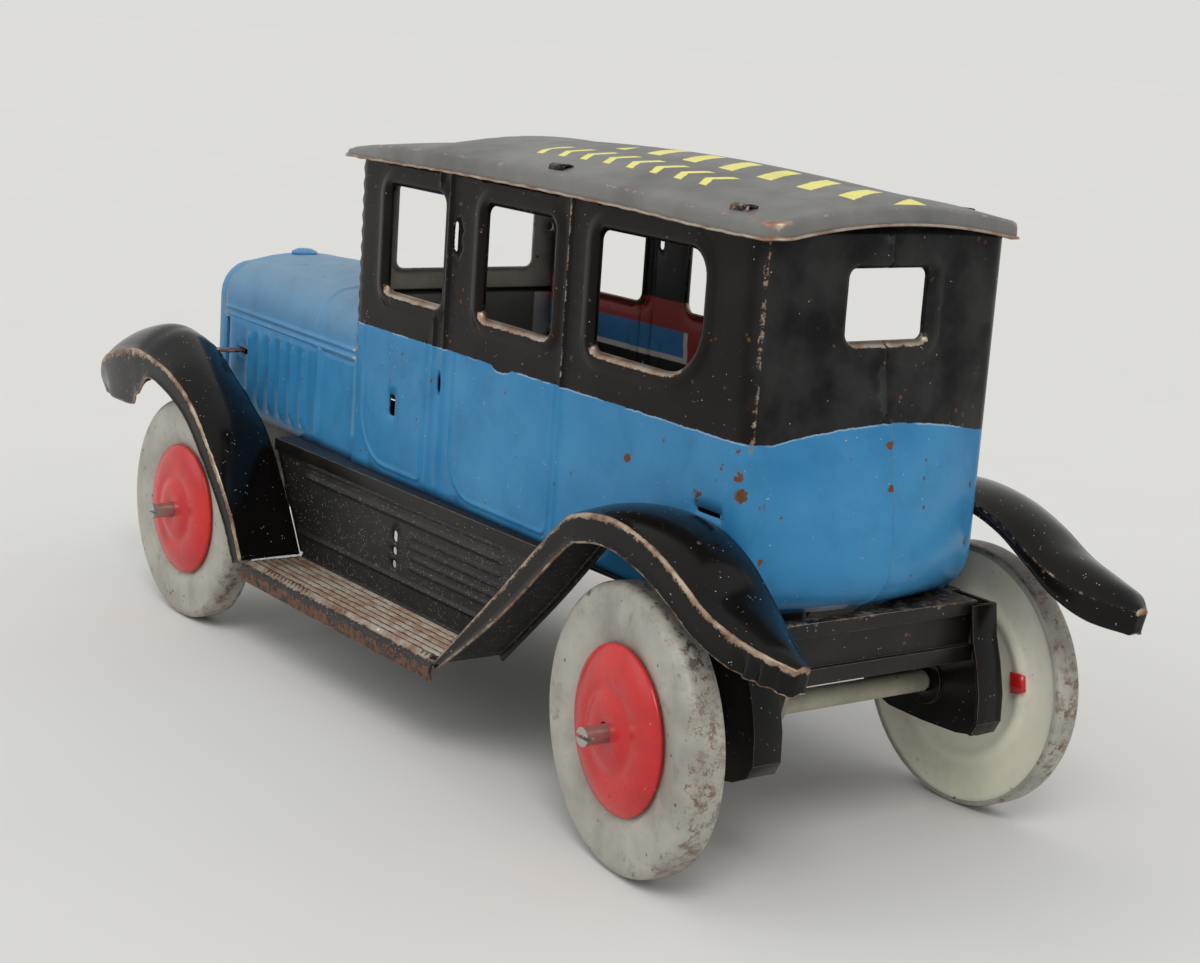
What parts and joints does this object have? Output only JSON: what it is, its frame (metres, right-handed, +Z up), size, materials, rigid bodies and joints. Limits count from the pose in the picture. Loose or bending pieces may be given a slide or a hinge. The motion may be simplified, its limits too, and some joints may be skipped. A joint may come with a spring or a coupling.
{
  "type": "friction tin car",
  "caption": "Pressed tin sedan toy with running boards, four fenders, disc wheels on wire axles and a geared flywheel friction motor.",
  "frame": {"origin": "on the ground, in the middle of the car's length and width", "axes": "+X towards the front of the car, +Y towards its left side, +Z up"},
  "size_m": [0.2288, 0.09, 0.1053],
  "materials": {
    "body_blue": "gloss",
    "hood_blue": "gloss",
    "roof_black": "satin",
    "chassis_black": "gloss",
    "fender_black": "gloss",
    "inside_grey": "satin",
    "tyre_grey": "satin",
    "wheel_cream": "satin",
    "hub_red": "gloss",
    "bare_steel": "dull, slightly rusted",
    "gear_brass": "dull",
    "flywheel_iron": "turned"
  },
  "bodies": {
    "car": {"chassis_tray": "chassis_black", "running_board_left": "chassis_black", "running_board_right": "chassis_black", "rear_fender_left": "fender_black", "rear_fender_right": "fender_black", "front_fender_left": "fender_black", "front_fender_right": "fender_black", "body_left": "body_blue", "body_right": "body_blue", "windshield_panel": "inside_grey", "hood_top": "hood_blue", "radiator": "hood_blue", "radiator_cap": "hood_blue", "roof": "roof_black", "rear_bracket_left": "chassis_black", "rear_bracket_right": "chassis_black", "front_hanger": "chassis_black", "motor_plate_outer": "bare_steel", "motor_plate_inner": "bare_steel", "motor_pillars": "bare_steel", "motor_rivets": "bare_steel"},
    "rear_wheels": {"rear_axle": "bare_steel", "axle_sleeve": "wheel_cream", "axle_gear": "gear_brass", "tyre_rear_left": "tyre_grey", "wheel_back_rear_left": "wheel_cream", "hub_rear_left": "hub_red", "tyre_rear_right": "tyre_grey", "wheel_back_rear_right": "wheel_cream", "hub_rear_right": "hub_red"},
    "front_wheels": {"front_axle": "bare_steel", "tyre_front_left": "tyre_grey", "wheel_back_front_left": "wheel_cream", "hub_front_left": "hub_red", "tyre_front_right": "tyre_grey", "wheel_back_front_right": "wheel_cream", "hub_front_right": "hub_red"},
    "layshaft_set": {"layshaft": "bare_steel", "layshaft_pinion": "bare_steel", "layshaft_gear": "gear_brass"},
    "flywheel_set": {"flywheel_shaft": "bare_steel", "flywheel_pinion": "bare_steel", "flywheel": "flywheel_iron"}
  },
  "joints": [
    {"name": "rear_axle_spin", "type": "hinge", "parent": "car", "child": "rear_wheels", "pos_m": [-0.08, 0, 0.0225], "axis": [0, 1, 0], "continuous": true},
    {"name": "front_axle_spin", "type": "hinge", "parent": "car", "child": "front_wheels", "pos_m": [0.072, 0, 0.0225], "axis": [0, 1, 0], "continuous": true},
    {"name": "layshaft_spin", "type": "hinge", "parent": "car", "child": "layshaft_set", "pos_m": [-0.074, 0.0147, 0.03289], "axis": [0, 1, 0], "continuous": true},
    {"name": "flywheel_spin", "type": "hinge", "parent": "car", "child": "flywheel_set", "pos_m": [-0.07192, 0.0005, 0.04471], "axis": [0, 1, 0], "continuous": true}
  ],
  "couplings": [
    {"joint": "layshaft_spin", "follows": "rear_axle_spin", "ratio": -3},
    {"joint": "flywheel_spin", "follows": "rear_axle_spin", "ratio": 9}
  ]
}
